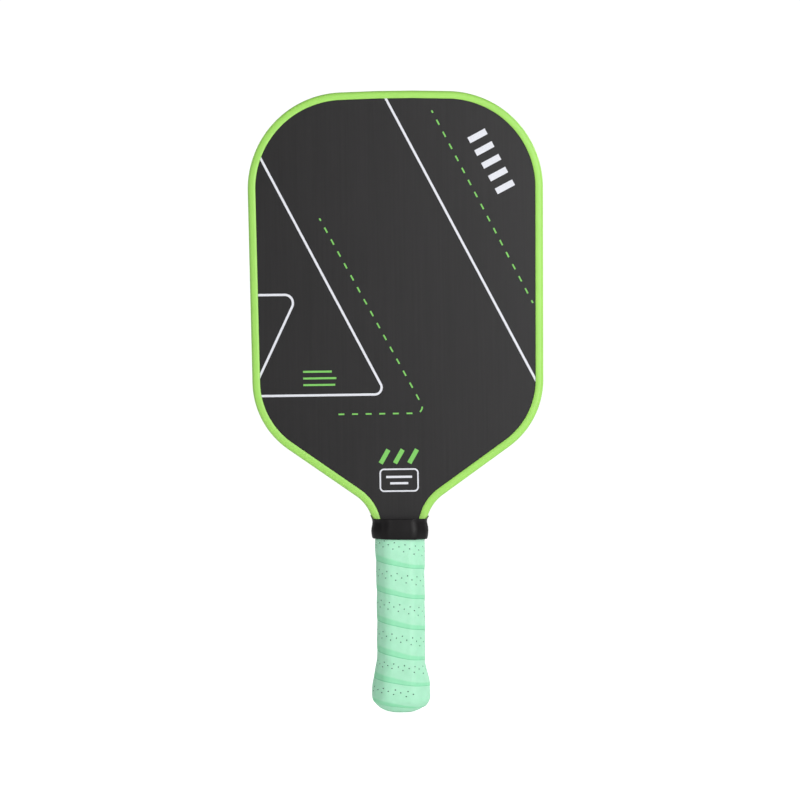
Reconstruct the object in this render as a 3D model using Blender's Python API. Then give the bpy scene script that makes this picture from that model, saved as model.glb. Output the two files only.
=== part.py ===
"""A pickleball paddle with a long handle, as its separate pieces at their real size.

+Z runs from the butt of the handle to the head, the front hitting face looks along -Y, and the origin
is the middle of the butt end. All lengths are in metres.
"""

import math

import bmesh
import bpy
from mathutils import Matrix, Vector

# ---- Head ----
LENGTH = 0.413
FACE_SPACING = 0.016  # over the outsides of the two face sheets
SHEET_THICKNESS = 0.0005
SCRIM_THICKNESS = 0.0002
TAPE_THICKNESS = 0.0003
FOAM_WIDTH = 0.0045
TANG_FOAM_WIDTH = 0.0027
CELL_PITCH = 0.016
CELL_WALL = 0.0007
GUARD_DEPTH = 0.018
GUARD_LIP = 0.0053
GUARD_WALL = 0.0016
GUARD_EDGE_RADIUS = 0.0026
GUARD_LIP_TAPER = (0.0012, 0.0003)  # how far back the lip's edge is eased, and by how much

# Right half of the head, as the guard's outer corners from the neck to the top: x, z, corner radius.
HEAD_CORNERS = [
    (0.0175, 0.1359, 0.027),
    (0.0964, 0.1917, 0.055),
    (0.0989, 0.4098, 0.064),
    (0.0, LENGTH + 0.0007, 0.9),
]
NECK_SHOULDER_Z = 0.1215
GUARD_END_Z = 0.1290
TANG_HALF_WIDTH = 0.012
TANG_END_Z = 0.0075

# ---- Handle: its sections are octagons with rounded corners, half width by half depth ----
CHAMFER_SHARE = 0.445  # of the half depth
CORNER_RADIUS_SHARE = 0.34
PALLET_HALF = (0.0141, 0.0125)
PALLET_Z = (0.0070, 0.1282)
PALLET_TAPE_Z = (0.012, 0.118)
WRAP_THICKNESS = 0.0016
WRAP_HALF = (0.0160, 0.0144)
WRAP_Z = (0.0019, 0.1208)
WRAP_RIM_RISE = 0.0015
WRAP_SKIVE_Z = 0.1151
TOP_SWELL = 0.0005
TOP_SWELL_Z = (0.09, 0.11)
FINISHING_TAPE_Z = (0.1156, 0.1207)

# The butt is an elliptical dome that flares out of the grip.
BUTT_HALF_WIDTH = 0.0193
DOME_HEIGHT = 0.011
DOME_REACH = 0.016
DOME_DEPTH_SHARE = 0.85
DOME_STEPS = 5
FLARE_Z = (0.015, 0.037)
FLARE_STEPS = 6
CAP_SKIRT_Z = 0.0315
CAP_FLOOR_Z = 0.0067
CAP_BOSS = [(0.0090, 0.0002), (0.0098, 0.0013)]  # radius and height of the end inside the wrap's rim
DISC_RADIUS = 0.008
DISC_THICKNESS = 0.0012
STAPLE_WIDTH = 0.0095
STAPLE_WIRE = 0.0007
STAPLE_LEG = 0.0055
STAPLE_Z = 0.021

# ---- Collar ----
COLLAR_Z = (0.1148, 0.1288)
COLLAR_INNER_HALF = (0.0169, 0.0151)
COLLAR_WALL = 0.0013
COLLAR_EDGE = (0.0005, 0.0008)  # the outer edge's easing: across, and along the handle
COLLAR_FLARE = 0.00145
COLLAR_FLARE_Z = 0.1235

GAP = 0.0003  # between solids that rest on one another
GLUE_GAP = 0.00015  # each side of a bonded tape or sheet
ARC_STEP = math.radians(7.5)
SECTION_STEP = math.radians(15)
RING_POINTS = 32
FAR = 0.03  # beyond the handle on every side

SHEET_INSET = GUARD_WALL + TAPE_THICKNESS + 2 * GLUE_GAP
SHEET_OUTER_Y = FACE_SPACING / 2
SCRIM_OUTER_Y = SHEET_OUTER_Y - SHEET_THICKNESS - GLUE_GAP
CORE_HALF_DEPTH = SCRIM_OUTER_Y - SCRIM_THICKNESS - GLUE_GAP
SIDES = (("front", -1), ("back", 1))


# ---- Scene, materials and objects ----
def clear_scene():
    for obj in list(bpy.data.objects):
        bpy.data.objects.remove(obj, do_unlink=True)


def new_collection(name):
    collection = bpy.data.collections.new(name)
    bpy.context.scene.collection.children.link(collection)
    return collection


def finish(name, colour, roughness, metallic=0.0):
    """A Principled material of one colour."""
    material = bpy.data.materials.new(name)
    material.use_nodes = True
    shader = material.node_tree.nodes["Principled BSDF"]
    shader.inputs["Base Color"].default_value = (*colour, 1.0)
    shader.inputs["Roughness"].default_value = roughness
    shader.inputs["Metallic"].default_value = metallic
    material.diffuse_color = (*colour, 1.0)
    return material


def add_object(name, data, material):
    data.materials.append(material)
    obj = bpy.data.objects.new(name, data)
    PARTS.objects.link(obj)
    return obj


def flat_piece(name, outlines, thickness, material):
    """A flat piece from a 2D curve: its first outline is the edge, the others are holes."""
    curve = bpy.data.curves.new(name, "CURVE")
    curve.dimensions = "2D"
    curve.fill_mode = "BOTH"
    curve.extrude = thickness / 2
    for outline in outlines:
        spline = curve.splines.new("POLY")
        spline.points.add(len(outline) - 1)
        for spline_point, point in zip(spline.points, outline):
            spline_point.co = (point.x, point.y, 0.0, 1.0)
        spline.use_cyclic_u = True
    return add_object(name, curve, material)


def plate(name, outlines, thickness, middle_y, material):
    """A flat piece that stands in the plane of the face."""
    obj = flat_piece(name, outlines, thickness, material)
    obj.rotation_euler.x = math.pi / 2
    obj.location.y = middle_y
    return obj


def loft(name, rings, material, tube=False):
    """A closed body through rings of equal count. A tube joins its last ring to its first."""
    body = bmesh.new()
    rows = [[body.verts.new(point) for point in points] for points in rings]
    pairs = list(zip(rows, rows[1:]))
    if tube:
        pairs.append((rows[-1], rows[0]))
    else:
        body.faces.new(rows[0])
        body.faces.new(rows[-1])
    for lower, upper in pairs:
        for index in range(len(lower)):
            after = (index + 1) % len(lower)
            body.faces.new((lower[index], lower[after], upper[after], upper[index]))
    bmesh.ops.recalc_face_normals(body, faces=body.faces)
    mesh = bpy.data.meshes.new(name)
    body.to_mesh(mesh)
    body.free()
    mesh.shade_smooth()
    mesh.set_sharp_from_angle(angle=math.radians(40))
    return add_object(name, mesh, material)


# ---- Cutters ----
def cut(obj, cutter):
    modifier = obj.modifiers.new("Cut", "BOOLEAN")
    modifier.operation = "DIFFERENCE"
    modifier.solver = "EXACT"
    modifier.object = cutter


def add_cutter(name, mesh, placement):
    obj = bpy.data.objects.new(name, mesh)
    obj.matrix_world = placement
    obj.hide_render = True
    obj.display_type = "WIRE"
    CUTTERS.objects.link(obj)
    return obj


def box_cutter(name, low, high):
    low, high = Vector(low), Vector(high)
    body = bmesh.new()
    bmesh.ops.create_cube(body, size=1.0)
    bmesh.ops.scale(body, vec=high - low, verts=body.verts)
    mesh = bpy.data.meshes.new(name)
    body.to_mesh(mesh)
    body.free()
    return add_cutter(name, mesh, Matrix.Translation((low + high) / 2))


def cutter_from(curve_object):
    """A curve object made into a cutter: a mesh with its caps welded on."""
    bpy.context.view_layer.update()
    evaluated = curve_object.evaluated_get(bpy.context.evaluated_depsgraph_get())
    mesh = bpy.data.meshes.new_from_object(evaluated)
    body = bmesh.new()
    body.from_mesh(mesh)
    bmesh.ops.remove_doubles(body, verts=body.verts, dist=0.000001)
    bmesh.ops.recalc_face_normals(body, faces=body.faces)
    body.to_mesh(mesh)
    body.free()
    name, placement = curve_object.name, curve_object.matrix_world.copy()
    bpy.data.objects.remove(curve_object, do_unlink=True)
    return add_cutter(name, mesh, placement)


# ---- Outlines in the plane of the face ----
def crossing(a, b, c, d):
    """Where the line through a and b meets the line through c and d."""
    ab = b - a
    cd = d - c
    return a + ab * ((c - a).cross(cd) / ab.cross(cd))


def head_corners(inset):
    """The head's corners and radii from the right of the neck over the top to its left, moved inwards."""
    right = [(Vector((x, z)), radius) for x, z, radius in HEAD_CORNERS]
    left = [(Vector((-point.x, point.y)), radius) for point, radius in reversed(right[:-1])]
    corners = right + left
    foot = Vector((right[0][0].x, 0.0))
    points = [foot] + [point for point, _ in corners] + [Vector((-foot.x, 0.0))]
    lines = []
    for start, end in zip(points, points[1:]):
        along = (end - start).normalized()
        across = Vector((-along.y, along.x)) * inset
        lines.append((start + across, end + across))
    moved = []
    for (_, radius), before, after in zip(corners, lines, lines[1:]):
        turns_inwards = (before[1] - before[0]).cross(after[1] - after[0]) > 0
        moved.append((crossing(*before, *after), radius - inset if turns_inwards else radius + inset))
    return moved


def rounded(corners, closed, step=ARC_STEP):
    """A path through the corners, each replaced by an arc of its radius."""
    path = []
    count = len(corners)
    for index, (corner, radius) in enumerate(corners):
        if not closed and index in (0, count - 1):
            path.append(corner.copy())
            continue
        to_before = (corners[index - 1][0] - corner).normalized()
        to_after = (corners[(index + 1) % count][0] - corner).normalized()
        half_angle = to_before.angle(to_after) / 2
        sweep = math.pi - 2 * half_angle
        centre = corner + (to_before + to_after).normalized() * (radius / math.sin(half_angle))
        spoke = corner + to_before * (radius / math.tan(half_angle)) - centre
        turn = math.copysign(sweep, -to_before.cross(to_after))
        segments = max(2, round(sweep / step))
        for number in range(segments + 1):
            cos = math.cos(turn * number / segments)
            sin = math.sin(turn * number / segments)
            path.append(centre + Vector((spoke.x * cos - spoke.y * sin, spoke.x * sin + spoke.y * cos)))
    return path


def bat_corners(inset, tang_half_width):
    """The corners of head, neck and tang, from the tang's right end round to its left end."""
    head = head_corners(inset)
    neck_x = head[0][0].x
    shoulder_radius = min(0.002, abs(neck_x - tang_half_width) / 2.2)
    foot = [
        (Vector((tang_half_width, TANG_END_Z)), 0.001),
        (Vector((tang_half_width, NECK_SHOULDER_Z)), shoulder_radius),
        (Vector((neck_x, NECK_SHOULDER_Z)), shoulder_radius),
    ]
    mirrored = [(Vector((-point.x, point.y)), radius) for point, radius in reversed(foot)]
    return foot + head + mirrored


def contains(outline, point):
    """Whether a point lies inside a closed outline."""
    inside = False
    for a, b in zip(outline, outline[1:] + outline[:1]):
        if (a.y > point.y) != (b.y > point.y):
            inside ^= point.x < a.x + (point.y - a.y) * (b.x - a.x) / (b.y - a.y)
    return inside


# ---- Sections across the handle ----
def ring(half, z):
    """A rounded octagon at a height."""
    half_width, half_depth = half
    chamfer = CHAMFER_SHARE * half_depth
    radius = CORNER_RADIUS_SHARE * half_depth
    corners = []
    for x_sign, y_sign in ((1, 1), (-1, 1), (-1, -1), (1, -1)):
        on_side = Vector((x_sign * half_width, y_sign * (half_depth - chamfer)))
        on_face = Vector((x_sign * (half_width - chamfer), y_sign * half_depth))
        pair = [on_side, on_face] if x_sign == y_sign else [on_face, on_side]
        corners += [(point, radius) for point in pair]
    return [(point.x, point.y, z) for point in rounded(corners, True, SECTION_STEP)]


def circle(radius, z):
    """A round section with as many points as an octagon, the first at about the same place."""
    turns = [2 * math.pi * (number + 0.5) / RING_POINTS for number in range(RING_POINTS)]
    return [(radius * math.cos(turn), radius * math.sin(turn), z) for turn in turns]


def dome(z, shrink):
    """Half width of the butt's dome at a height, taken inwards by shrink."""
    drop = min(1.0, (DOME_HEIGHT - z) / (DOME_HEIGHT - shrink))
    centre = BUTT_HALF_WIDTH - DOME_REACH
    return centre + (DOME_REACH - shrink) * math.sqrt(1 - drop * drop)


def blend(low, high, z):
    """From 0 at low to 1 at high, held outside them."""
    return min(1.0, max(0.0, (z - low) / (high - low)))


def grip_half(z, shrink=0.0):
    """Half width and half depth of the grip's outside at a height, taken inwards by shrink."""
    growth = -shrink
    if z <= WRAP_SKIVE_Z:
        flare = 1 - blend(*FLARE_Z, z)
        growth += (BUTT_HALF_WIDTH - WRAP_HALF[0]) * (1 - math.cos(math.pi * flare)) / 2
        growth += TOP_SWELL * blend(*TOP_SWELL_Z, z)
    half_width, half_depth = WRAP_HALF[0] + growth, WRAP_HALF[1] + growth
    if z < DOME_HEIGHT:
        narrowing = half_width - dome(z, shrink)
        half_width -= narrowing
        half_depth -= DOME_DEPTH_SHARE * narrowing
    return half_width, half_depth


def butt_heights(bottom, top):
    """Heights up the dome, closest where it curves most, and then up the flare."""
    quarter = [math.pi / 2 * step / DOME_STEPS for step in range(DOME_STEPS + 1)]
    heights = [DOME_HEIGHT - (DOME_HEIGHT - bottom) * math.cos(turn) for turn in quarter]
    rise = (top - DOME_HEIGHT) / FLARE_STEPS
    return heights + [DOME_HEIGHT + rise * (step + 1) for step in range(FLARE_STEPS)]


# ---- The bat: core, foam, scrims, face sheets ----
def honeycomb_core():
    """The polypropylene core: hexagonal cells right through, in the head and down the tang."""
    inset = SHEET_INSET + FOAM_WIDTH + GLUE_GAP
    edge = rounded(bat_corners(inset, TANG_HALF_WIDTH - TANG_FOAM_WIDTH - GLUE_GAP), closed=True)
    angles = [math.radians(30 + 60 * side) for side in range(6)]
    spokes = [Vector((math.cos(angle), math.sin(angle))) for angle in angles]
    cell_radius = (CELL_PITCH - CELL_WALL) / math.sqrt(3)
    row_height = CELL_PITCH * math.sqrt(3) / 2
    columns = math.ceil(HEAD_CORNERS[1][0] / CELL_PITCH)
    cells = []
    for row in range(1, math.ceil(LENGTH / row_height)):
        shift = CELL_PITCH / 2 if row % 2 == 0 else 0.0
        for column in range(-columns, columns + 1):
            middle = Vector((column * CELL_PITCH + shift, TANG_END_Z + (row - 0.3) * row_height))
            if all(contains(edge, middle + spoke * (cell_radius + CELL_WALL)) for spoke in spokes):
                cells.append([middle + spoke * cell_radius for spoke in spokes])
    material = finish("polypropylene", (0.72, 0.74, 0.76), 0.55)
    plate("honeycomb_core", [edge] + cells, 2 * CORE_HALF_DEPTH, 0.0, material)


def perimeter_foam():
    """The foam wall round the core and down both sides of the tang, open at the tang's end."""
    inner_corners = bat_corners(SHEET_INSET + FOAM_WIDTH, TANG_HALF_WIDTH - TANG_FOAM_WIDTH)
    outer = rounded(bat_corners(SHEET_INSET, TANG_HALF_WIDTH), closed=False)
    inner = rounded(inner_corners, closed=False)
    material = finish("eva_foam", (0.055, 0.055, 0.06), 0.9)
    plate("perimeter_foam", [outer + inner[::-1]], 2 * CORE_HALF_DEPTH, 0.0, material)


def face_layers():
    """A scrim and a face sheet on each side of the core."""
    outline = rounded(bat_corners(SHEET_INSET, TANG_HALF_WIDTH), closed=True)
    scrim = finish("scrim", (0.8, 0.8, 0.77), 0.85)
    carbon = finish("carbon_face", (0.042, 0.041, 0.042), 0.62)
    scrim_y = SCRIM_OUTER_Y - SCRIM_THICKNESS / 2
    sheet_y = SHEET_OUTER_Y - SHEET_THICKNESS / 2
    for side, sign in SIDES:
        plate(side + "_scrim", [outline], SCRIM_THICKNESS, sign * scrim_y, scrim)
        plate(side + "_face_sheet", [outline], SHEET_THICKNESS, sign * sheet_y, carbon)


# ---- The edge ----
def guard_section():
    """The channel's section: each point's inset from the outside and its offset from the middle plane."""
    outside = GUARD_DEPTH / 2
    channel = FACE_SPACING / 2 + GAP
    back, ease = GUARD_LIP_TAPER
    radius = GUARD_EDGE_RADIUS
    half = [(GUARD_LIP, channel), (GUARD_LIP, outside - ease), (GUARD_LIP - back, outside)]
    for number in range(5):
        angle = math.radians(90 + 90 * number / 4)
        half.append((radius + radius * math.cos(angle), outside - radius + radius * math.sin(angle)))
    half.insert(0, (GUARD_WALL, channel))
    return half + [(inset, -offset) for inset, offset in reversed(half)]


def edge_strip(name, section, material):
    """A section swept round the head: each of its points follows the outline at its own inset."""
    rows = []
    for inset, offset in section:
        corners = head_corners(inset)
        neck_x = corners[0][0].x
        right_end, left_end = Vector((neck_x, NECK_SHOULDER_Z)), Vector((-neck_x, NECK_SHOULDER_Z))
        path = rounded([(right_end, 0.0)] + corners + [(left_end, 0.0)], closed=False)
        rows.append([(point.x, offset, point.y) for point in path])
    strip = loft(name, list(zip(*rows)), material)
    cut(strip, box_cutter(name + "_end", (-FAR, -FAR, 0.0), (FAR, FAR, GUARD_END_Z)))


def edge_pieces():
    """The channel over the rim, and the tape that bonds it there."""
    edge_strip("edge_guard", guard_section(), finish("lime_tpu", (0.37, 0.77, 0.16), 0.42))
    near = GUARD_WALL + GLUE_GAP
    far = near + TAPE_THICKNESS
    half = CORE_HALF_DEPTH
    section = [(far, half), (near, half), (near, -half), (far, -half)]
    edge_strip("edge_guard_tape", section, finish("guard_tape", (0.75, 0.75, 0.72), 0.6))


# ---- The handle ----
def staple_slot(side, sign):
    """The space that a staple takes out of the cap's skirt and the pallet under it."""
    face_y = grip_half(STAPLE_Z, WRAP_THICKNESS + GAP)[1]
    ends = sorted((sign * (face_y + WRAP_THICKNESS), sign * (face_y - STAPLE_LEG - GAP)))
    half_width = STAPLE_WIDTH / 2 + GAP
    half_height = STAPLE_WIRE / 2 + GAP
    low = (-half_width, ends[0], STAPLE_Z - half_height)
    high = (half_width, ends[1], STAPLE_Z + half_height)
    return box_cutter(side + "_staple_slot", low, high)


def staples():
    """Two wire staples, each through the cap's skirt into a pallet."""
    steel = finish("staple_steel", (0.62, 0.62, 0.6), 0.3, 1.0)
    half, wire, leg = STAPLE_WIDTH / 2, STAPLE_WIRE, STAPLE_LEG
    right = [(half, 0.0), (half, leg), (half - wire, leg), (half - wire, wire)]
    outline = [Vector(point) for point in right]
    outline += [Vector((-x, depth)) for x, depth in reversed(right)]
    face_y = grip_half(STAPLE_Z, WRAP_THICKNESS + GAP)[1]
    for side, sign in SIDES:
        staple = flat_piece(side + "_cap_staple", [outline], wire, steel)
        staple.location = (0.0, sign * face_y, STAPLE_Z)
        staple.rotation_euler.z = 0.0 if sign < 0 else math.pi


def handle_pallets():
    """Two moulded halves that make the flat tang into an octagonal handle."""
    material = finish("pallet_plastic", (0.09, 0.09, 0.095), 0.7)
    pocket_depth = FACE_SPACING + 2 * (TAPE_THICKNESS + 2 * GLUE_GAP)
    corners = bat_corners(SHEET_INSET - GAP, TANG_HALF_WIDTH + GAP)
    below = Vector((0.0, FAR))
    for index in (0, -1):
        corners[index] = (corners[index][0] - below, corners[index][1])
    pocket = cutter_from(plate("tang_pocket", [rounded(corners, closed=True)], pocket_depth, 0.0, material))
    for side, sign in SIDES:
        pallet = loft(side + "_handle_pallet", [ring(PALLET_HALF, z) for z in PALLET_Z], material)
        ends = sorted((-sign * FAR, sign * GLUE_GAP))
        other_half = box_cutter(side + "_pallet_split", (-FAR, ends[0], 0.0), (FAR, ends[1], LENGTH))
        cut(pallet, other_half)
        cut(pallet, pocket)
        cut(pallet, STAPLE_SLOTS[side])


def pallet_tapes():
    """The bonding tape between the tang and each pallet."""
    material = finish("pallet_tape", (0.8, 0.77, 0.62), 0.7)
    half_width = TANG_HALF_WIDTH - GAP
    low, high = PALLET_TAPE_Z
    corners = [(half_width, low), (half_width, high), (-half_width, high), (-half_width, low)]
    outline = rounded([(Vector(corner), 0.001) for corner in corners], closed=True)
    tape_y = SHEET_OUTER_Y + GLUE_GAP + TAPE_THICKNESS / 2
    for side, sign in SIDES:
        plate(side + "_pallet_tape", [outline], TAPE_THICKNESS, sign * tape_y, material)


def butt_cap():
    """The moulded cup on the end of the handle, with a shallow seat for its end disc."""
    shrink = WRAP_THICKNESS + GAP
    seat = DISC_RADIUS + GAP
    rings = [circle(seat, DISC_THICKNESS + GAP), circle(seat, CAP_BOSS[0][1])]
    rings += [circle(radius, z) for radius, z in CAP_BOSS]
    heights = butt_heights(WRAP_Z[0] + WRAP_RIM_RISE, CAP_SKIRT_Z)
    rings += [ring(grip_half(z, shrink), z) for z in heights]
    cup = (PALLET_HALF[0] + GAP, PALLET_HALF[1] + GAP)
    rings += [ring(cup, CAP_SKIRT_Z), ring(cup, CAP_FLOOR_Z)]
    loft("butt_cap", rings, finish("cap_plastic", (0.36, 0.70, 0.50), 0.5))
    for slot in STAPLE_SLOTS.values():
        cut(bpy.data.objects["butt_cap"], slot)


def butt_cap_disc():
    """The plain disc set into the butt: the flat that the paddle can stand on."""
    rings = [circle(DISC_RADIUS, 0.0), circle(DISC_RADIUS, DISC_THICKNESS)]
    loft("butt_cap_disc", rings, finish("disc_plastic", (0.30, 0.62, 0.43), 0.45))


def grip_wrap():
    """The cushioned strip that is wound round the handle, as one soft sleeve from butt to collar."""
    bottom, top = WRAP_Z
    heights = butt_heights(bottom, FLARE_Z[1]) + [*TOP_SWELL_Z, WRAP_SKIVE_Z, WRAP_SKIVE_Z + GAP, top]
    outer = [ring(grip_half(z), z) for z in heights]
    sleeve = (PALLET_HALF[0] + GAP, PALLET_HALF[1] + GAP)
    inner = [ring(sleeve, top), ring(sleeve, FLARE_Z[1])]
    inner_heights = butt_heights(bottom + WRAP_RIM_RISE, CAP_SKIRT_Z + GAP)
    inner += [ring(grip_half(z, WRAP_THICKNESS), z) for z in reversed(inner_heights)]
    loft("grip_wrap", outer + inner, finish("mint_grip", (0.45, 0.84, 0.60), 0.72), tube=True)


def finishing_tape():
    """The tape that holds down the top of the wrap, under the collar."""
    low, high = FINISHING_TAPE_Z
    inner = (WRAP_HALF[0] + GAP, WRAP_HALF[1] + GAP)
    outer = (inner[0] + TAPE_THICKNESS, inner[1] + TAPE_THICKNESS)
    rings = [ring(outer, low), ring(outer, high), ring(inner, high), ring(inner, low)]
    loft("finishing_tape", rings, finish("vinyl_tape", (0.02, 0.02, 0.022), 0.4), tube=True)


def collar():
    """The rubber ring over the top of the grip. It slides down the handle, along -Z."""
    low, high = COLLAR_Z
    ease, rise = COLLAR_EDGE

    def section(growth, z):
        return ring((COLLAR_INNER_HALF[0] + growth, COLLAR_INNER_HALF[1] + max(0.0, growth)), z)

    def mouth(side_growth, face_growth):
        half = (COLLAR_INNER_HALF[0] + COLLAR_FLARE + side_growth, COLLAR_INNER_HALF[1] + face_growth)
        return ring(half, high)

    rings = [section(COLLAR_WALL - ease, low), section(COLLAR_WALL, low + rise)]
    rings += [section(COLLAR_WALL, COLLAR_FLARE_Z), mouth(COLLAR_WALL - ease, COLLAR_WALL)]
    rings += [mouth(0.0, 0.0), section(0.0, COLLAR_FLARE_Z), section(0.0, low)]
    sleeve = loft("collar", rings, finish("collar_rubber", (0.022, 0.021, 0.022), 0.45), tube=True)
    middle = Vector((0.0, 0.0, (low + high) / 2))
    sleeve.data.transform(Matrix.Translation(-middle))
    sleeve.location = middle


clear_scene()
PARTS = new_collection("pickleball_paddle")
CUTTERS = new_collection("cutters")
STAPLE_SLOTS = {side: staple_slot(side, sign) for side, sign in SIDES}

honeycomb_core()
perimeter_foam()
face_layers()
edge_pieces()
handle_pallets()
pallet_tapes()
butt_cap()
butt_cap_disc()
staples()
grip_wrap()
finishing_tape()
collar()
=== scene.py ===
"""The looks of a pickleball paddle with a long wrapped handle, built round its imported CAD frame.

Lengths are in metres in the frame's own axes: +Z runs from the butt to the head, and the front face looks
along -Y.
"""

import math

import bmesh
import bpy
import numpy as np
from mathutils import Matrix, Vector, noise


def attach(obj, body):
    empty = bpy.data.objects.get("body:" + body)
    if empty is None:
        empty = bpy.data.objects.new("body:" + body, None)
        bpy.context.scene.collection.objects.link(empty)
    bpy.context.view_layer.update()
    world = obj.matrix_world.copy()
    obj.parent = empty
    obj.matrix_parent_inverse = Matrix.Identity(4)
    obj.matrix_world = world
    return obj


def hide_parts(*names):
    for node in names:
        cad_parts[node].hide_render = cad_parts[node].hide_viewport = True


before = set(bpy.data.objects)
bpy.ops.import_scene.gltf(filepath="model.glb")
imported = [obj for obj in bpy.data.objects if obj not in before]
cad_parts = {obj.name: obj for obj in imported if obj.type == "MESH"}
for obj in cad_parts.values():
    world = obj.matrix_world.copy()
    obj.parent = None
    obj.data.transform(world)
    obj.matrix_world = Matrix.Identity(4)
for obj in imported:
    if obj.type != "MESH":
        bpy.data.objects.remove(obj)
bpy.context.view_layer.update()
MM = 0.001

# ---- Sizes, as in the CAD source ----
# The head's corners from the right of the neck to the middle of the top: x, z and radius.
HEAD_CORNERS = [
    (0.0175, 0.1359, 0.027),
    (0.0964, 0.1917, 0.055),
    (0.0989, 0.4098, 0.064),
    (0.0, 0.4137, 0.9),
]
GUARD_END_Z = 0.1282
FACE_Y = -0.008
# Half widths and half depths of the handle: outside the wrap, inside it, and inside the cap.
GRIP_HALF = (0.0160, 0.0144)
WRAP_BORE_HALF = (0.01445, 0.01285)
CAP_BORE_HALF = (0.0144, 0.0128)
BUTT_HALF_WIDTH = 0.0193
WRAP_THICKNESS = 0.0016
# The octagon's chamfer and corner radius as shares of its half depth, for the hard parts, the rubber collar
# and its tape, and the soft outside of the wrap.
HARD_SHAPE = (0.445, 0.34)
RING_SHAPE = (0.47, 0.55)
SOFT_SHAPE = (0.50, 0.62)
# Points round a ring of the handle's inner surfaces, and round a ring of the collar or tape.
AROUND_HANDLE = 96
AROUND_COLLAR = 144


# ---- Materials ----
class Finish:
    """A Principled material, and the few nodes that most of them share."""

    def __init__(self, name, roughness, **sockets):
        self.material = bpy.data.materials.new(name)
        self.material.use_nodes = True
        self.tree = self.material.node_tree
        self.shader = self.tree.nodes["Principled BSDF"]
        self.shader.inputs["Roughness"].default_value = roughness
        for socket, value in sockets.items():
            self.shader.inputs[socket.replace("_", " ")].default_value = value
        self.coordinates = self.tree.nodes.new("ShaderNodeTexCoord").outputs["Object"]

    def node(self, kind, **settings):
        made = self.tree.nodes.new("ShaderNode" + kind)
        for name, value in settings.items():
            setattr(made, name, value)
        return made

    def link(self, source, target):
        self.tree.links.new(source, target)

    def noise(self, scale, detail=2.0, stretch=(1, 1, 1), rough=0.5):
        """Noise from 0 to 1 with about scale features to the metre."""
        mapping = self.node("Mapping")
        mapping.inputs["Scale"].default_value = stretch
        self.link(self.coordinates, mapping.inputs["Vector"])
        texture = self.node("TexNoise")
        texture.inputs["Scale"].default_value = scale
        texture.inputs["Detail"].default_value = detail
        texture.inputs["Roughness"].default_value = rough
        self.link(mapping.outputs["Vector"], texture.inputs["Vector"])
        return texture.outputs["Fac"]

    def ramp(self, source, stops):
        """Colours at places from 0 to 1."""
        ramp = self.node("ValToRGB")
        elements = ramp.color_ramp.elements
        while len(elements) < len(stops):
            elements.new(0.5)
        for element, (place, colour) in zip(elements, stops):
            element.position = place
            element.color = (*colour, 1.0)
        self.link(source, ramp.inputs["Fac"])
        return ramp.outputs["Color"]

    def mix(self, factor, a, b, blend="MIX"):
        mix = self.node("Mix", data_type="RGBA", blend_type=blend)
        for value, socket in ((factor, 0), (a, 6), (b, 7)):
            if isinstance(value, bpy.types.NodeSocket):
                self.link(value, mix.inputs[socket])
            else:
                mix.inputs[socket].default_value = value
        return mix.outputs[2]

    def math(self, operation, a, b=0.0):
        made = self.node("Math", operation=operation)
        for value, socket in ((a, 0), (b, 1)):
            if isinstance(value, bpy.types.NodeSocket):
                self.link(value, made.inputs[socket])
            else:
                made.inputs[socket].default_value = value
        return made.outputs[0]

    def colour(self, source):
        self.link(source, self.shader.inputs["Base Color"])

    def roughness(self, source, low, high):
        spread = self.node("MapRange")
        spread.inputs["To Min"].default_value = low
        spread.inputs["To Max"].default_value = high
        self.link(source, spread.inputs["Value"])
        self.link(spread.outputs["Result"], self.shader.inputs["Roughness"])

    def bump(self, source, height, below=None):
        """Relief of a height in metres, over the relief below it."""
        bump = self.node("Bump")
        bump.inputs["Distance"].default_value = height
        self.link(source, bump.inputs["Height"])
        if below is not None:
            self.link(below, bump.inputs["Normal"])
        self.link(bump.outputs["Normal"], self.shader.inputs["Normal"])
        return bump.outputs["Normal"]


def stops(dark, light):
    """A ramp's stops from a darker to a lighter shade."""
    return [(0.3, dark), (0.7, light)]


def shades(colour, spread):
    """A ramp's stops from a little darker than a colour to a little lighter."""
    dark = tuple(channel * (1 - spread) for channel in colour)
    light = tuple(min(1.0, channel * (1 + spread)) for channel in colour)
    return stops(dark, light)


def moulded(name, colour, roughness, grain=900, height=0.00002, spread=0.08, **sockets):
    """Moulded, sawn or foamed stuff: a mottled colour over a fine grain."""
    made = Finish(name, roughness, **sockets)
    made.colour(made.ramp(made.noise(grain / 9), shades(colour, spread)))
    fine = made.noise(grain, detail=4)
    made.roughness(fine, roughness - 0.06, roughness + 0.06)
    made.bump(fine, height)
    return made.material


def carbon():
    """Raw carbon laminate: near black, with faint upright fibre streaks under a fine gritty weave."""
    made = Finish("carbon_face", 0.43, Specular_IOR_Level=0.35)
    dark, light = (0.0072, 0.0062, 0.0068), (0.0094, 0.0082, 0.0090)
    clouds = made.ramp(made.noise(14, detail=3), stops(dark, light))
    streaks = made.noise(620, detail=3, stretch=(1, 1, 0.015), rough=0.7)
    fibres = made.ramp(streaks, stops((0.55,) * 3, (1.0,) * 3))
    made.colour(made.mix(1.0, clouds, fibres, "MULTIPLY"))
    threads = []
    for direction in ("X", "Z"):
        wave = made.node("TexWave", bands_direction=direction, wave_profile="SIN")
        wave.inputs["Scale"].default_value = 420
        wave.inputs["Distortion"].default_value = 0.6
        wave.inputs["Detail"].default_value = 1.0
        made.link(made.coordinates, wave.inputs["Vector"])
        threads.append(wave.outputs["Fac"])
    weave = made.math("MULTIPLY", *threads)
    low = made.bump(weave, 0.000012)
    low = made.bump(streaks, 0.000006, low)
    made.bump(made.noise(3800, detail=2), 0.00003, low)
    made.roughness(made.noise(500, detail=3, stretch=(1, 1, 0.03)), 0.36, 0.49)
    return made.material


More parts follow.
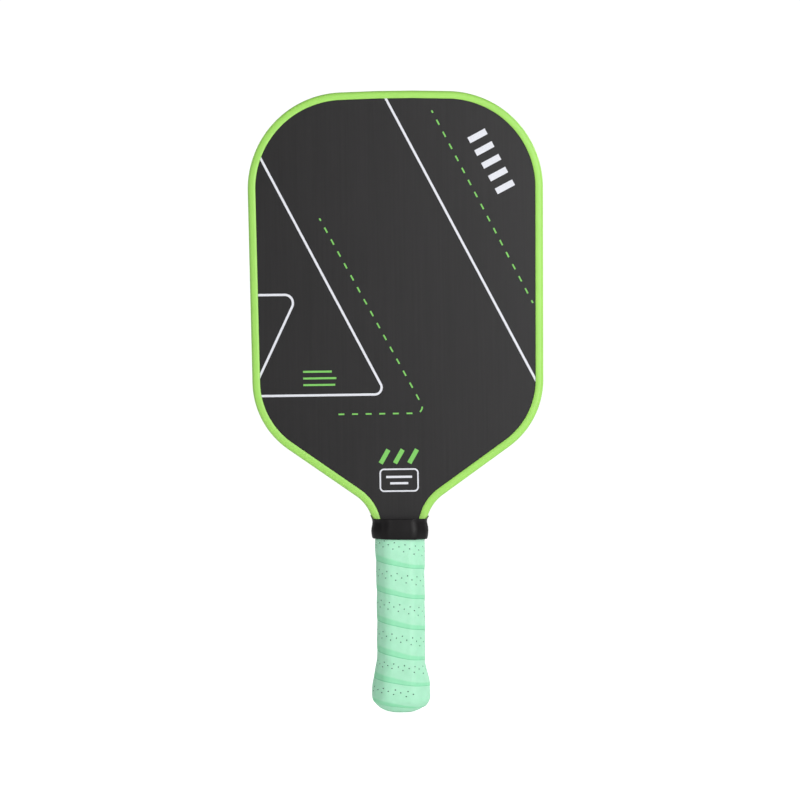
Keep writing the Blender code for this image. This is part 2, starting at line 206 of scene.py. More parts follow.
def lime_rubber():
    """Satin moulded TPU with a slow waviness, which lets a little light through."""
    made = Finish(
        "lime_tpu",
        0.4,
        Specular_IOR_Level=0.35,
        Subsurface_Weight=0.08,
        Subsurface_Radius=(0.6, 1.0, 0.3),
        Subsurface_Scale=0.002,
    )
    dark, light = (0.315, 0.64, 0.112), (0.345, 0.68, 0.125)
    made.colour(made.ramp(made.noise(45, detail=3), stops(dark, light)))
    made.roughness(made.noise(300, detail=3), 0.36, 0.48)
    low = made.bump(made.noise(120, detail=2), 0.00006)
    made.bump(made.noise(2200, detail=3), 0.000012, low)
    return made.material


def grip_foam():
    """Cushioned polyurethane. A mesh attribute is 0 on the open strip, SKIVED_PRESS on its skived edge and 1
    in the step up to the next turn. The skived edge's deeper colour is partly the compressed strip and partly
    painted shade. The darkest colour, in the step, is a painted shadow under the edge of the turn above."""
    made = Finish(
        "mint_grip",
        0.55,
        Specular_IOR_Level=0.6,
        Subsurface_Weight=0.12,
        Subsurface_Radius=(0.5, 1.0, 0.7),
        Subsurface_Scale=0.0015,
    )
    press = made.node("Attribute", attribute_name="press").outputs["Fac"]
    # The first colour is the grip's own. The second is the compressed skived edge with painted shade. The
    # third is a painted shadow in the step between turns.
    strip, skived, seam = (0.39, 0.77, 0.54), (0.28, 0.73, 0.44), (0.13, 0.49, 0.28)
    pressed = made.ramp(press, [(0.0, strip), (SKIVED_PRESS, skived), (1.0, seam)])
    mottle = made.ramp(made.noise(220, detail=4), stops((0.91, 0.95, 0.93), (1.0, 1.0, 1.0)))
    made.colour(made.mix(1.0, pressed, mottle, "MULTIPLY"))
    made.roughness(made.noise(800), 0.50, 0.62)
    grain = made.node("TexVoronoi", feature="SMOOTH_F1")
    grain.inputs["Scale"].default_value = 1500
    made.link(made.coordinates, grain.inputs["Vector"])
    low = made.bump(grain.outputs["Distance"], 0.00007)
    low = made.bump(made.noise(500, detail=3), 0.00012, low)
    made.bump(made.noise(90, detail=2), 0.0003, low)
    return made.material


def ring_rubber():
    """Soft black rubber with uneven gloss, as after handling."""
    made = Finish("collar_rubber", 0.4, Specular_IOR_Level=0.17)
    dark, light = (0.0048, 0.0041, 0.0045), (0.0066, 0.0058, 0.0063)
    made.colour(made.ramp(made.noise(70, detail=4), stops(dark, light)))
    made.roughness(made.noise(180, detail=5), 0.36, 0.54)
    low = made.bump(made.noise(60, detail=2, stretch=(1, 1, 0.5)), 0.0006)
    made.bump(made.noise(1400, detail=4), 0.00002, low)
    return made.material


def ink(name, colour):
    """Screen-printed ink: slightly broken in its cover by the weave beneath."""
    made = Finish(name, 0.55, Specular_IOR_Level=0.35)
    faded = tuple(channel * 0.86 for channel in colour)
    made.colour(made.ramp(made.noise(1500, detail=3), [(0.3, faded), (0.6, colour)]))
    made.bump(made.noise(2500, detail=2), 0.00001)
    return made.material


# ---- Paths in the plane of the face ----
def crossing(a, b, c, d):
    """Where the line through a and b meets the line through c and d."""
    ab = b - a
    cd = d - c
    return a + ab * ((c - a).cross(cd) / ab.cross(cd))


def head_corners(inset):
    """The head's corners and radii from the right of the neck over the top to its left, moved inwards."""
    right = [(Vector((x, z)), radius) for x, z, radius in HEAD_CORNERS]
    left = [(Vector((-point.x, point.y)), radius) for point, radius in reversed(right[:-1])]
    corners = right + left
    foot = Vector((right[0][0].x, 0.0))
    points = [foot] + [point for point, _ in corners] + [Vector((-foot.x, 0.0))]
    lines = []
    for start, end in zip(points, points[1:]):
        along = (end - start).normalized()
        across = Vector((-along.y, along.x)) * inset
        lines.append((start + across, end + across))
    moved = []
    for (_, radius), before, after in zip(corners, lines, lines[1:]):
        turns_inwards = (before[1] - before[0]).cross(after[1] - after[0]) > 0
        moved.append((crossing(*before, *after), radius - inset if turns_inwards else radius + inset))
    return moved


def rounded(corners, step=math.radians(1.5)):
    """An open path through the corners, each but the ends replaced by an arc of its radius."""
    path = [corners[0][0].copy()]
    for (before, _), (corner, radius), (after, _) in zip(corners, corners[1:], corners[2:]):
        to_before = (before - corner).normalized()
        to_after = (after - corner).normalized()
        half_angle = to_before.angle(to_after) / 2
        sweep = math.pi - 2 * half_angle
        centre = corner + (to_before + to_after).normalized() * (radius / math.sin(half_angle))
        spoke = corner + to_before * (radius / math.tan(half_angle)) - centre
        turn = math.copysign(sweep, -to_before.cross(to_after))
        segments = max(2, round(sweep / step))
        for number in range(segments + 1):
            cos = math.cos(turn * number / segments)
            sin = math.sin(turn * number / segments)
            path.append(centre + Vector((spoke.x * cos - spoke.y * sin, spoke.x * sin + spoke.y * cos)))
    path.append(corners[-1][0].copy())
    return path


# ---- Meshes ----
def add_piece(name, body, material, cad_body="paddle", sharp=40.0):
    """A bmesh made into a piece that rides on a CAD body."""
    bmesh.ops.recalc_face_normals(body, faces=body.faces)
    mesh = bpy.data.meshes.new(name)
    body.to_mesh(mesh)
    body.free()
    mesh.materials.append(material)
    mesh.shade_smooth()
    mesh.set_sharp_from_angle(angle=math.radians(sharp))
    obj = bpy.data.objects.new(name, mesh)
    bpy.context.scene.collection.objects.link(obj)
    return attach(obj, cad_body)


def rise(value, low, high):
    """0 up to low, 1 from high on, and straight in between."""
    return np.clip((value - low) / (high - low), 0, 1)


def cut_past(body, place, outwards, snap=0.0):
    """Cuts off what lies past a plane, and gives the edges of the cut."""
    everything = body.verts[:] + body.edges[:] + body.faces[:]
    plane = {"plane_co": place, "plane_no": outwards}
    cut = bmesh.ops.bisect_plane(body, geom=everything, dist=snap, clear_outer=True, **plane)
    return [item for item in cut["geom_cut"] if isinstance(item, bmesh.types.BMEdge)]


def loft(rings, tube=False):
    """A closed body through rings of equal count. A tube joins its last ring to its first."""
    body = bmesh.new()
    rows = [[body.verts.new(point) for point in points] for points in rings]
    pairs = list(zip(rows, rows[1:]))
    if tube:
        pairs.append((rows[-1], rows[0]))
    else:
        body.faces.new(rows[0])
        body.faces.new(rows[-1])
    for lower, upper in pairs:
        for index in range(len(lower)):
            after = (index + 1) % len(lower)
            body.faces.new((lower[index], lower[after], upper[after], upper[index]))
    return body


# ---- The edge guard ----
def guard_section():
    """Half of the channel's section from its inner wall round the lip to the crown: inset, and distance from
    the middle plane, both in millimetres."""
    wall = [(1.6, 8.3), (4.9, 8.3)]
    lip = [(5.2, 8.36), (5.3, 8.5), (5.22, 8.66), (4.95, 8.8), (4.5, 8.92), (3.9, 9.0), (3.2, 9.0)]
    shoulder = []
    for number in range(9):
        angle = math.radians(90 * number / 8)
        shoulder.append((2.5 - 2.35 * math.sin(angle), 6.55 + 2.4 * math.cos(angle)))
    crown = [(0.05, 4.5), (0.0, 2.0)]
    return wall + lip + shoulder + crown


def edge_guard():
    """The guard in one piece, from one side of the collar round the head to the other."""
    half = [(inset * MM, offset * MM) for inset, offset in guard_section()]
    channel = half + [(inset, -offset) for inset, offset in reversed(half)]
    rows = []
    # Both legs run on below the guard's ends, and are cut off there.
    low_z = 0.115
    for inset, offset in channel:
        corners = head_corners(inset)
        neck_x = corners[0][0].x
        ends = [(Vector((neck_x, low_z)), 0.0), (Vector((-neck_x, low_z)), 0.0)]
        path = rounded([ends[0]] + corners + [ends[1]])
        rows.append([(point.x, offset, point.y) for point in path])
    body = loft(list(zip(*rows)))
    edges = cut_past(body, (0, 0, GUARD_END_Z), (0, 0, -1))
    bmesh.ops.holes_fill(body, edges=edges)
    guard = add_piece("rolled_edge_guard", body, lime_rubber(), sharp=60)
    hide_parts("edge_guard")


# ---- The print on the front face ----
# The ink's two sides, one just under the face sheet's surface and one just over it.
INK_Y = (FACE_Y + 0.00001, FACE_Y - 0.00006)
# The long lines: corner radius, and corners as x and z, in millimetres.
WHITE_LINES = [
    (0.0, [(-6.3, 409.0), (92.8, 217.0)]),
    (4.6, [(-91.9, 374.2), (-7.9, 211.3), (-92.0, 211.2)]),
    (5.5, [(-93.0, 278.2), (-65.7, 278.2), (-92.5, 222.3)]),
]
DASHED_LINES = [
    (0.0, [(24.8, 399.3), (90.3, 270.6)]),
    (4.2, [(-50.6, 328.6), (18.7, 198.5), (-42.1, 198.4)]),
]
# The dashes' pitch and length, and how much of the first one is left out.
DASH_PITCH = 0.00903
DASH_LENGTH = 0.0039
DASH_LEAD = 0.0021


def stroke(body, path, width):
    """A flat printed line along a path, as a thin closed strip."""
    sides = []
    for index, point in enumerate(path):
        before = path[max(index - 1, 0)]
        after = path[min(index + 1, len(path) - 1)]
        along = (after - before).normalized()
        across = Vector((-along.y, along.x)) * (width / 2)
        sides.append((point + across, point - across))
    rings = []
    for left, right in sides:
        corners = [(left, 0), (right, 0), (right, 1), (left, 1)]
        rings.append([body.verts.new((point.x, INK_Y[level], point.y)) for point, level in corners])
    body.faces.new(rings[0])
    body.faces.new(rings[-1])
    for near, far in zip(rings, rings[1:]):
        for index in range(4):
            after = (index + 1) % 4
            body.faces.new((near[index], near[after], far[after], far[index]))


def straight(body, start, end, width):
    """A straight printed line between two points, all in millimetres."""
    stroke(body, [Vector(start) * MM, Vector(end) * MM], width * MM)


def points_along(path, start, end):
    """The part of a path between two distances along it, both less than its length."""
    found = []
    travelled = 0.0
    for a, b in zip(path, path[1:]):
        length = (b - a).length
        for distance in (start, end):
            if travelled <= distance < travelled + length:
                found.append((distance, a.lerp(b, (distance - travelled) / length)))
        if start < travelled < end:
            found.append((travelled, a.copy()))
        travelled += length
    return [point for _, point in sorted(found, key=lambda item: item[0])]


def bent(points, radius):
    """A path in metres through points in millimetres, with its inner corners rounded."""
    return rounded([(Vector(point) * MM, radius * MM) for point in points], math.radians(10))


def printed_white_lines():
    """The solid lines, and plain bars and a plain label in the places of the marks."""
    white = bmesh.new()
    for radius, points in WHITE_LINES:
        stroke(white, bent(points, radius), 1.55 * MM)
    # Five cross bars in a row beside the long line.
    bar_pitch, bar_half, bar_width = 9.6, 6.5, 4.2
    along = Vector((99.9, -192.0)).normalized()
    across = Vector((-along.y, along.x))
    for number in range(5):
        middle = Vector((55.0, 382.0)) + along * (bar_pitch * number)
        straight(white, middle + across * bar_half, middle - across * bar_half, bar_width)
    # A rounded label frame low on the face, drawn from the middle of its top, with two lines in it.
    label = [(0, 161.5), (12.5, 161.5), (12.5, 147.0), (-12.5, 147.0), (-12.5, 161.5), (0, 161.5)]
    stroke(white, bent(label, 2.5), 1.0 * MM)
    for z, half in ((156.4, 8.6), (152.2, 6.0)):
        straight(white, (-half, z), (half, z), 1.5)
    add_piece("printed_white_lines", white, ink("white_ink", (0.70, 0.71, 0.76)))


def printed_green_dashes():
    """The dashed lines, and plain short lines and slashes in the places of the lettering."""
    green = bmesh.new()
    for radius, points in DASHED_LINES:
        path = bent(points, radius)
        length = sum((b - a).length for a, b in zip(path, path[1:]))
        for number in range(math.ceil((length + DASH_LEAD) / DASH_PITCH)):
            start = number * DASH_PITCH - DASH_LEAD
            end = min(start + DASH_LENGTH, length - 1e-5)
            stroke(green, points_along(path, max(start, 0.0), end), 1.0 * MM)
    left, top, line_pitch = -62.8, 226.9, 4.4
    for number, length in enumerate((19.0, 22.0, 21.2)):
        z = top - line_pitch * number
        straight(green, (left, z), (left + length, z), 1.3)
    for x in (-9.5, 0.0, 9.5):
        straight(green, (x - 2.6, 165.5), (x + 2.6, 174.5), 3.0)
    add_piece("printed_green_dashes", green, ink("green_ink", (0.19, 0.55, 0.11)))


# ---- Sections across the handle ----
def section(s, half_width, half_depth, shape=HARD_SHAPE):
    """Points and normals round a rounded octagon. s goes from 0 at the middle of the back, clockwise from
    above, to 1. All are arrays."""
    chamfer = shape[0] * half_depth
    radius = shape[1] * half_depth
    tangent = radius * math.tan(math.radians(22.5))
    lengths = [
        half_width - chamfer - tangent,
        radius * math.pi / 4,
        chamfer * math.sqrt(2) - 2 * tangent,
        radius * math.pi / 4,
        half_depth - chamfer - tangent,
    ]
    quarter = np.floor(s * 4) % 4
    share = s * 4 - np.floor(s * 4)
    share = np.where(quarter % 2 == 1, 1 - share, share)
    left = share * sum(lengths)
    x = np.zeros_like(left)
    y = half_depth * np.ones_like(left)
    heading = np.zeros_like(left)
    for number, length in enumerate(lengths):
        run = np.clip(left, 0, length)
        if number % 2 == 0:
            x = x + run * np.cos(heading)
            y = y - run * np.sin(heading)
        else:
            turned = heading + run / radius
            x = x + radius * (np.sin(turned) - np.sin(heading))
            y = y - radius * (np.cos(heading) - np.cos(turned))
            heading = turned
        left = left - run
    x_sign = np.where(quarter < 2, 1, -1)
    y_sign = np.where((quarter == 0) | (quarter == 3), 1, -1)
    return x * x_sign, y * y_sign, np.sin(heading) * x_sign, np.cos(heading) * y_sign


def section_ring(half, z):
    """A hard section as a list of points."""
    count = AROUND_HANDLE
    s = (np.arange(count) + 0.5) / count
    x, y, _, _ = section(s, np.full(count, half[0]), np.full(count, half[1]))
    return [(float(a), float(b), z) for a, b in zip(x, y)]


# ---- The wrap ----
# The strip's grid: columns round the handle, their width, and rows across a turn.
COLUMNS = 207
COLUMN_WIDTH = 0.000507
ROWS = 40
# Heights of the wrap's rim and its top.
WRAP_Z = (0.0009, 0.1208)
# Heights where the seams cross the middle of the front, and the pitch on past the lowest and the highest.
SEAM_Z = [0.0048, 0.0209, 0.0379, 0.0582, 0.0785, 0.0985]
RIM_PITCH = 0.0155
TOP_PITCH = 0.0202
# The thinned edge's share of a turn, and the attribute's value there, which gives the edge a deeper colour:
# partly its compressed strip and partly painted shade.
SKIVE = 0.17
SKIVED_PRESS = 0.6
# The butt's edge is rounded below this height, round the end of a flat of this half width.
ROUND_Z = 0.011
ROUND_FLAT = 0.0033
ROUND_WIDTH = 0.016
# Perforations: a hole every so many columns in each of three rows, which are given as rows from the middle
# one and columns along. The middle one lies at this share of a turn, and the holes start this many turns in.
HOLE_PITCH = 14
HOLE_ROWS = ((-5, 0), (0, 6), (5, 12))
HOLE_CENTRE = 0.555
FIRST_HOLE = 0.41
# A hole's radius at the strip's surface, and its radii and depths from there down.
HOLE_RADIUS = 0.00047
HOLE_RINGS = ((0.00041, 0.00007), (0.00037, 0.0003), (0.00032, 0.0009))


def grip_half(z, shrink=0.0):
    """Half width and half depth of the handle's outside at a height, taken inwards by shrink."""
    flare = 1 - rise(z, 0.015, 0.037)
    swell = 0.0005 * rise(z, 0.09, 0.11)
    growth = (BUTT_HALF_WIDTH - GRIP_HALF[0]) * (1 - math.cos(math.pi * flare)) / 2 + swell - shrink
    half_width, half_depth = GRIP_HALF[0] + growth, GRIP_HALF[1] + growth
    if z < ROUND_Z:
        drop = min(1.0, (ROUND_Z - z) / (ROUND_Z - shrink))
        narrowing = half_width - (ROUND_FLAT + (ROUND_WIDTH - shrink) * math.sqrt(1 - drop * drop))
        half_width -= narrowing
        half_depth -= 0.85 * narrowing
    return half_width, half_depth


def meridian():
    """Heights, half widths and half depths, and the distance up the surface, from the rim to the top."""
    low, high = WRAP_Z
    heights = [ROUND_Z - (ROUND_Z - low) * math.cos(math.pi / 2 * step / 80) for step in range(81)]
    heights += [ROUND_Z + (high - ROUND_Z) * (step + 1) / 400 for step in range(400)]
    halves = np.array([grip_half(z) for z in heights])
    heights = np.array(heights)
    steps = np.hypot(np.diff(heights), np.diff(halves[:, 0]))
    return heights, halves, np.concatenate([[0.0], np.cumsum(steps)])


def wrap_offset(v):
    """How far the strip's surface stands from the mean one, at a share of the way across a turn."""
    skived = -0.02 + 0.22 * rise(v, 0, SKIVE) ** 0.8
    open_strip = 0.20 - 0.40 * rise(v, SKIVE, 1) ** 1.2
    return np.where(v < SKIVE, skived, open_strip) * MM


def seam_bend(side):
    """How far up the seams are bent at a side of the handle, as a share of the way round from the back."""
    up = 0.0007 * math.exp(-(((side - 0.28) / 0.075) ** 2))
    down = 0.0006 * math.exp(-(((side - 0.45) / 0.08) ** 2))
    return up - down


def wound_distance(turns, seam_distance):
    """The distance up the handle after so many turns, with the unevenness of winding by hand."""
    sway = 0.0009 * np.cos(2 * np.pi * turns) - 0.0002 * np.sin(4 * np.pi * turns)
    drift = 0.00025 * np.sin(2.3 * np.pi * turns + 1.0)
    # The middle of the front is half a turn on from the middle of the back, where the turns start.
    at_front = np.arange(len(seam_distance)) - 0.5
    return np.interp(turns, at_front, seam_distance) + sway + drift


def punch(body, grid, i, j):
    """Replaces the four faces round a point of the grid with a hole that has walls and a floor. Below the
    rim, the walls and the floor take the second material, a dark painted shade in the hole.
    """
    around = [(1, 0), (1, 1), (0, 1), (-1, 1), (-1, 0), (-1, -1), (0, -1), (1, -1)]
    middle = grid[i][j].co.copy()
    outer = [grid[i + a][j + b] for a, b in around]
    for vert, (a, b) in zip(outer, around):
        turn = math.atan2(b, a)
        slope = (grid[i + a][j].co.y - middle.y) * abs(a)
        vert.co.x = middle.x + HOLE_RADIUS * math.cos(turn) / COLUMN_WIDTH
        vert.co.y = middle.y + HOLE_RADIUS * math.sin(turn) + slope
    rings = [outer]
    for radius, depth in HOLE_RINGS:
        ring = []
        for a, b in around:
            turn = math.atan2(b, a)
            x = middle.x + radius * math.cos(turn) / COLUMN_WIDTH
            y = middle.y + radius * math.sin(turn)
            ring.append(body.verts.new((x, y, middle.z - depth)))
        rings.append(ring)
    for level, (near, far) in enumerate(zip(rings, rings[1:])):
        for k in range(8):
            face = body.faces.new((near[k], near[(k + 1) % 8], far[(k + 1) % 8], far[k]))
            face.material_index = 1 if level > 0 else 0
    body.faces.new(rings[-1]).material_index = 1
    body.verts.remove(grid[i][j])


def wrap_domain(seam_distance):
    """The wound strip laid out flat: x counts columns round the handle, y is the distance up it and z the
    height of the surface. Each turn shares its columns with the next, and ends in a step up to it."""
    first, last = -COLUMNS, round(6.6 * COLUMNS)
    v = np.array([number / ROWS for number in range(ROWS)] + [1 - 0.35 / ROWS, 1.0])
    count = len(v)
    height = wrap_offset(v)
    height[-1] = height[0]
    # The step is darkest at its foot, the last row but one: a painted shadow under the edge of the turn
    # above. The skived rows get painted shade over their own deeper colour.
    shade = [SKIVED_PRESS * min(1.0, (SKIVE - share) / 0.04) if share < SKIVE else 0.0 for share in v]
    shade[0] = shade[-1] = 0.75
    shade[-2] = 1.0

    body = bmesh.new()
    # This layer carries the painted shadow in the seams' steps and the skived edges' darker colour.
    press = body.verts.layers.float.new("press")
    grid = []
    for column in range(first, last):
        bend = seam_bend((column / COLUMNS) % 1.0)
        along = wound_distance(column / COLUMNS + v, seam_distance) + bend
        line = []
        for number in range(count):
            vert = body.verts.new((column, along[number], height[number]))
            vert[press] = shade[number]
            line.append(vert)
        grid.append(line)

    centre_row = round(HOLE_CENTRE * ROWS)
    holes = []
    for column in range(math.ceil(FIRST_HOLE * COLUMNS), last - 2):
        for row, shift in HOLE_ROWS:
            if column % HOLE_PITCH == shift:
                holes.append((column - first, centre_row + row))
    skipped = {(i + a, j + b) for i, j in holes for a in (-1, 0) for b in (-1, 0)}
    for i in range(len(grid) - 1):
        for j in range(count - 1):
            if (i, j) not in skipped:
                body.faces.new((grid[i][j], grid[i + 1][j], grid[i + 1][j + 1], grid[i][j + 1]))
    for i, j in holes:
        punch(body, grid, i, j)
    return body


def wind(body, heights, halves, distances):
    """Moves the flat strip's points onto the handle."""
    flat = np.array([vert.co for vert in body.verts])
    s = (flat[:, 0] / COLUMNS) % 1.0
    distance = np.clip(flat[:, 1], 0, distances[-1])
    z = np.interp(distance, distances, heights)
    half_width = np.interp(distance, distances, halves[:, 0])
    half_depth = np.interp(distance, distances, halves[:, 1])
    slope_z = np.interp(distance, distances, np.gradient(heights, distances))
    slope_out = np.interp(distance, distances, np.gradient(halves[:, 0], distances))
    x, y, normal_x, normal_y = section(s, half_width, half_depth, SOFT_SHAPE)
    lift = flat[:, 2].copy()
    for index, point in enumerate(zip(x, y, z)):
        lift[index] += 0.00009 * noise.noise(Vector(point) * 130)
        lift[index] += 0.00004 * noise.noise(Vector(point) * 420)
    # The tape presses the strip's end in.
    lift -= 0.0003 * rise(z, 0.1151, 0.1161)
    x = x + normal_x * slope_z * lift
    y = y + normal_y * slope_z * lift
    z = z - slope_out * lift
    # The flare leans a little to the left, all but its rim.
    x = x - 0.0005 * (1 - rise(z, 0.03, 0.052)) * rise(z, 0.001, 0.008)
    for vert, point in zip(body.verts, np.stack([x, y, z], axis=1)):
        vert.co = point


def line_wrap(body):
    """Adds the strip's inner side, from the top down, and joins it to the outside at both ends."""
    inner = [(WRAP_BORE_HALF, z) for z in (0.1206, 0.1, 0.07, 0.037)]
    for z in (0.0318, 0.028, 0.024, 0.02, 0.015, 0.011, 0.008, 0.0055, 0.0036):
        inner.append((grip_half(z, WRAP_THICKNESS), z))
    rings = [[body.verts.new(point) for point in section_ring(half, z)] for half, z in inner]
    for near, far in zip(rings, rings[1:]):
        for k in range(AROUND_HANDLE):
            after = (k + 1) % AROUND_HANDLE
            body.faces.new((near[k], near[after], far[after], far[k]))
    open_edges = [edge for edge in body.edges if len(edge.link_faces) == 1]
    middle_z = WRAP_Z[1] / 2
    for upper in (True, False):
        loop = [edge for edge in open_edges if (edge.verts[0].co.z > middle_z) == upper]
        bmesh.ops.bridge_loops(body, edges=loop)


def grip_wrap():
    """The wound strip, cut at the rim and the top, with its inner side."""
    heights, halves, distances = meridian()
    seams = np.interp(SEAM_Z, heights, distances)
    # The strip goes on beyond the rim and the top, to be cut there.
    below = [seams[0] - RIM_PITCH]
    above = [seams[-1] + TOP_PITCH, seams[-1] + 2 * TOP_PITCH]
    body = wrap_domain(np.concatenate([below, seams, above]))
    cut_past(body, (0, 0, 0), (0, -1, 0), snap=1e-7)
    cut_past(body, (0, distances[-1], 0), (0, 1, 0), snap=1e-7)
    wind(body, heights, halves, distances)
    bmesh.ops.remove_doubles(body, verts=body.verts, dist=0.000004)
    line_wrap(body)
    wrap = add_piece("perforated_grip_wrap", body, grip_foam(), sharp=55)
    # The second material darkens the holes' walls and floors: painted shade inside the perforations.
    wrap.data.materials.append(moulded("painted_pit_shade", (0.03, 0.1, 0.07), 0.85))
    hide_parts("grip_wrap")


# ---- Collar and the tape under it ----
def wavy_rings(rows, amount, seed):
    """Rings whose height differs between the faces and the sides, with a slow waviness. Each row is half
    width, half depth, height on the faces and height on the sides, in millimetres."""
    rings = []
    count = AROUND_COLLAR
    s = (np.arange(count) + 0.5) / count
    for half_width, half_depth, face_z, side_z in rows:
        widths = np.full(count, half_width * MM)
        depths = np.full(count, half_depth * MM)
        x, y, normal_x, normal_y = section(s, widths, depths, RING_SHAPE)
        # Near the top, only the very sides turn up over the guard's ends.
        start, end = (0.78, 0.98) if face_z > 126 else (0.2, 0.9)
        side = rise(np.abs(normal_x), start, end)
        side = side * side * (3 - 2 * side)
        z = (face_z + (side_z - face_z) * side) * MM
        ring = []
        for a, b, c, nx, ny in zip(x, y, z, normal_x, normal_y):
            wave = amount * noise.noise(Vector((a * 90 + seed, b * 90, c * 150)))
            ring.append((a + nx * wave, b + ny * wave, c))
        rings.append(ring)
    return rings


def collar():
    """The rubber collar, which slides down the handle."""
    # Outside from the foot's inner edge up over the bulge and the waist to the lip, then down the inside.
    rows = [
        (16.95, 15.35, 115.5, 115.75),
        (17.15, 15.45, 115.2, 115.45),
        (17.6, 15.75, 115.0, 115.3),
        (18.0, 16.05, 115.1, 115.45),
        (18.35, 16.3, 115.6, 116.0),
        (18.65, 16.44, 116.8, 117.1),
        (18.92, 16.52, 118.6, 118.9),
        (19.02, 16.56, 120.5, 120.6),
        (18.82, 16.46, 122.5, 122.7),
        (18.35, 16.2, 124.5, 124.8),
        (18.15, 15.98, 126.2, 126.6),
        (18.4, 15.86, 127.4, 128.2),
        (18.95, 15.8, 128.2, 129.5),
        (19.35, 15.7, 128.55, 130.15),
        (19.45, 15.5, 128.72, 130.5),
        (19.25, 15.3, 128.7, 130.6),
        (19.02, 15.18, 128.45, 130.3),
        (18.7, 15.2, 127.8, 129.0),
        (17.9, 15.3, 126.4, 127.2),
        (17.2, 15.35, 124.5, 125.0),
        (17.05, 15.35, 120.0, 120.0),
    ]
    # Both edges sit a little lower on the right.
    tilted = []
    for ring in wavy_rings(rows, 0.00012, seed=3.0):
        points = []
        for x, y, z in ring:
            across = x / 0.018
            low = 1 - rise(z, 0.1155, 0.1185)
            high = rise(z, 0.128, 0.1305)
            drop = low * (0.0004 * across + 0.00005) + high * 0.0005 * across
            points.append((x, y, z - drop))
        tilted.append(points)
    ring = add_piece("rubber_collar", loft(tilted, tube=True), ring_rubber(), cad_body="collar", sharp=70)
    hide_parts("collar")


def finishing_tape():
    """The tape over the wrap's pressed end, under the collar."""
    # Outside from the foot over the wrap's end to the top, then down the inside.
    rows = [
        (16.16, 14.55, 115.6, 115.6),
        (16.52, 14.88, 115.6, 115.6),
        (16.64, 14.98, 116.1, 116.1),
        (16.66, 15.0, 121.0, 121.0),
        (16.6, 14.93, 125.4, 125.4),
        (16.3, 14.6, 127.2, 127.2),
        (15.5, 13.7, 128.15, 128.15),
        (14.7, 12.9, 128.4, 128.4),
        (14.3, 12.6, 128.1, 128.1),
        (14.3, 12.6, 121.2, 121.2),
        (16.16, 14.55, 121.0, 121.0),
    ]
    tape = add_piece(
        "wound_finishing_tape",
        loft(wavy_rings(rows, 0.00006, seed=8.0), tube=True),
        moulded("finishing_tape", (0.011, 0.011, 0.012), 0.4, grain=700),
        sharp=50,
    )
    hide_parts("finishing_tape")


# ---- The butt's end ----
def butt_end():
    """The moulded cup under the wrap, and the plain disc set into its end."""
    plastic = moulded("cap_plastic", (0.36, 0.70, 0.50), 0.5, grain=1200, spread=0.04)

    def circles(profile):
        """Rings from radii and heights in millimetres."""
        turns = [2 * math.pi * (number + 0.5) / AROUND_HANDLE for number in range(AROUND_HANDLE)]
        rings = []
        for radius, z in profile:
            ring = [(radius * MM * math.sin(turn), radius * MM * math.cos(turn), z * MM) for turn in turns]
            rings.append(ring)
        return rings

    # The seat of the disc and the bead round it, then the outside up, then the inside down.
    rings = circles([(7.9, 1.5), (7.9, 0.5), (8.1, 0.25), (8.45, 0.3), (8.6, 0.6), (8.6, 1.8)])
    cap_inset = WRAP_THICKNESS + 0.00035
    for z in (0.0036, 0.005, 0.007, 0.009, 0.011, 0.015, 0.02, 0.025, 0.0315):
        rings.append(section_ring(grip_half(z, cap_inset), z))
    rings += [section_ring(CAP_BORE_HALF, z) for z in (0.0315, 0.0067)]
    cup = add_piece("moulded_butt_cap", loft(rings), plastic)
    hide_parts("butt_cap")

    groove = [(3.7, 0.0), (3.9, 0.15), (4.3, 0.15), (4.5, 0.0)]
    edge = [(7.1, 0.0), (7.45, 0.1), (7.6, 0.35), (7.6, 1.2)]
    disc = add_piece("butt_end_disc", loft(circles(groove + edge)), plastic)
    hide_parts("butt_cap_disc")


# ---- CAD nodes that stay ----
def dress_cad_nodes():
    """Materials for the nodes that no piece replaces."""
    core = moulded("polypropylene", (0.66, 0.68, 0.70), 0.5)
    foam = moulded("eva_foam", (0.05, 0.05, 0.055), 0.88, grain=1600, height=0.00008, spread=0.25)
    scrim = moulded("scrim", (0.74, 0.74, 0.7), 0.85, grain=2400, height=0.00005)
    pallet = moulded("pallet_plastic", (0.085, 0.085, 0.09), 0.62, grain=700)
    bond = moulded("bonding_tape", (0.72, 0.7, 0.6), 0.6, grain=1400)
    steel = moulded("staple_steel", (0.6, 0.6, 0.58), 0.34, grain=3000, height=0.000004, Metallic=1.0)
    face = carbon()
    finishes = {
        "honeycomb_core": core,
        "perimeter_foam": foam,
        "front_scrim": scrim,
        "back_scrim": scrim,
        "front_face_sheet": face,
        "back_face_sheet": face,
        "edge_guard_tape": bond,
        "front_pallet_tape": bond,
        "back_pallet_tape": bond,
        "front_handle_pallet": pallet,
        "back_handle_pallet": pallet,
        "front_cap_staple": steel,
        "back_cap_staple": steel,
    }
    for node, material in finishes.items():
        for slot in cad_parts[node].material_slots:
            slot.material = material


# ---- Studio ----
# Each light's place, diameter and power in watts, and the point on the paddle that they all face.
LIGHTS = {
    "key": ((1.12, -1.4, 1.28), 1.0, 13.0),
    "near_key": ((0.88, -2.05, 0.55), 0.6, 24.0),
    "low_right": ((1.0, -1.25, 0.12), 0.3, 1.3),
    "fill": ((-1.8, -1.4, 0.7), 1.4, 6.5),
    "back_right": ((1.6, 1.3, 1.2), 1.2, 24.0),
    "back_left": ((-1.5, 1.6, 1.2), 1.2, 19.0),
}
LIT_POINT = (0.0, 0.0, 0.2)


def area_light(name, place, size, power):
    """A soft round light that faces the paddle."""
    light = bpy.data.lights.new(name, "AREA")
    light.shape = "DISK"
    light.size = size
    light.energy = power
    obj = bpy.data.objects.new(name, light)
    obj.location = place
    obj.rotation_euler = (Vector(place) - Vector(LIT_POINT)).to_track_quat("Z", "Y").to_euler()
    bpy.context.scene.collection.objects.link(obj)


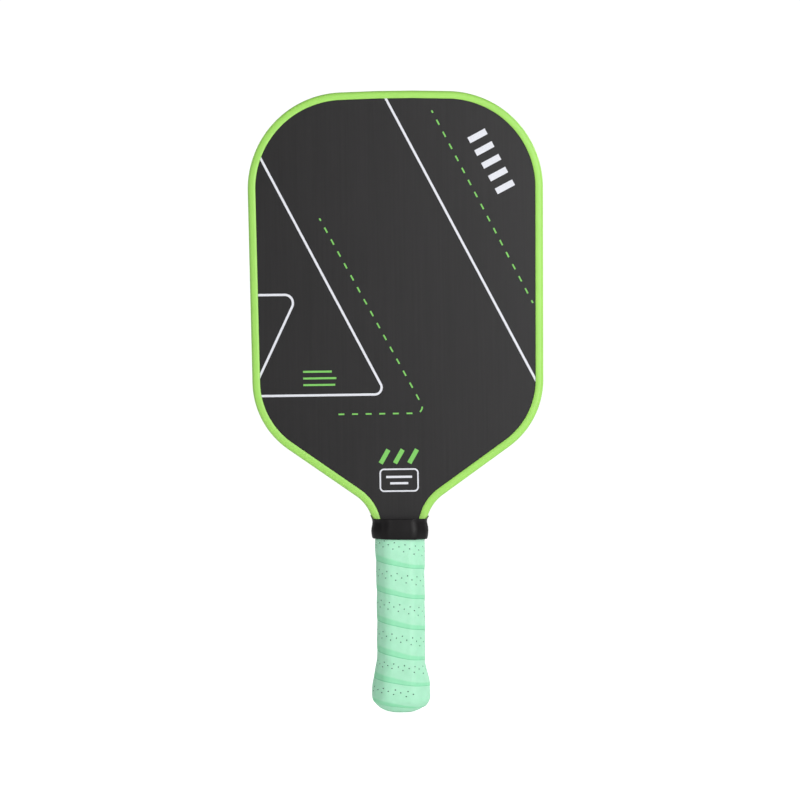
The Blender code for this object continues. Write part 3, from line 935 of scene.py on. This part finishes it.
def studio_floor():
    """A white floor just under the butt. It shows near white, and throws less light than that back up."""
    body = bmesh.new()
    bmesh.ops.create_grid(body, x_segments=8, y_segments=8, size=4.0)
    mesh = bpy.data.meshes.new("studio_floor")
    body.to_mesh(mesh)
    body.free()
    floor = bpy.data.objects.new("studio_floor", mesh)
    floor.location.z = -0.0002
    bpy.context.scene.collection.objects.link(floor)
    white = Finish("studio_white", 0.9, Specular_IOR_Level=0.0)
    white.shader.inputs["Emission Color"].default_value = (1, 1, 1, 1)
    shown = white.node("LightPath").outputs["Is Camera Ray"]
    glow = white.node("MapRange")
    glow.inputs["To Min"].default_value = 0.55
    glow.inputs["To Max"].default_value = 0.97
    white.link(shown, glow.inputs["Value"])
    white.link(glow.outputs["Result"], white.shader.inputs["Emission Strength"])
    white.colour(white.ramp(white.noise(0.5), [(0.0, (0.40,) * 3), (1.0, (0.42,) * 3)]))
    mesh.materials.append(white.material)


def studio_world():
    """White behind the paddle, and only a little even light from all round."""
    world = bpy.data.worlds.new("studio")
    bpy.context.scene.world = world
    world.use_nodes = True
    tree = world.node_tree
    backdrop = tree.nodes["Background"]
    backdrop.inputs["Color"].default_value = (1, 1, 1, 1)
    backdrop.inputs["Strength"].default_value = 1.05
    lighting = tree.nodes.new("ShaderNodeBackground")
    lighting.inputs["Color"].default_value = (1, 1, 1, 1)
    lighting.inputs["Strength"].default_value = 0.1
    mix = tree.nodes.new("ShaderNodeMixShader")
    path = tree.nodes.new("ShaderNodeLightPath")
    tree.links.new(path.outputs["Is Camera Ray"], mix.inputs["Fac"])
    tree.links.new(lighting.outputs["Background"], mix.inputs[1])
    tree.links.new(backdrop.outputs["Background"], mix.inputs[2])
    tree.links.new(mix.outputs["Shader"], tree.nodes["World Output"].inputs["Surface"])
    bpy.context.scene.view_settings.view_transform = "Standard"


def camera():
    """Straight ahead of the front face, and rolled a little, as in the photograph."""
    place, roll = (0.00125, -2.22, 0.2074), math.radians(-0.76)
    data = bpy.data.cameras.new("camera")
    data.lens = 150
    data.sensor_width = 36
    obj = bpy.data.objects.new("camera", data)
    level = Matrix.Rotation(math.radians(90), 4, "X")
    obj.matrix_world = Matrix.Translation(place) @ level @ Matrix.Rotation(roll, 4, "Z")
    bpy.context.scene.collection.objects.link(obj)
    bpy.context.scene.camera = obj


dress_cad_nodes()
edge_guard()
printed_white_lines()
printed_green_dashes()
grip_wrap()
finishing_tape()
collar()
butt_end()
studio_floor()
for light_name, light_values in LIGHTS.items():
    area_light(light_name, *light_values)
studio_world()
camera()
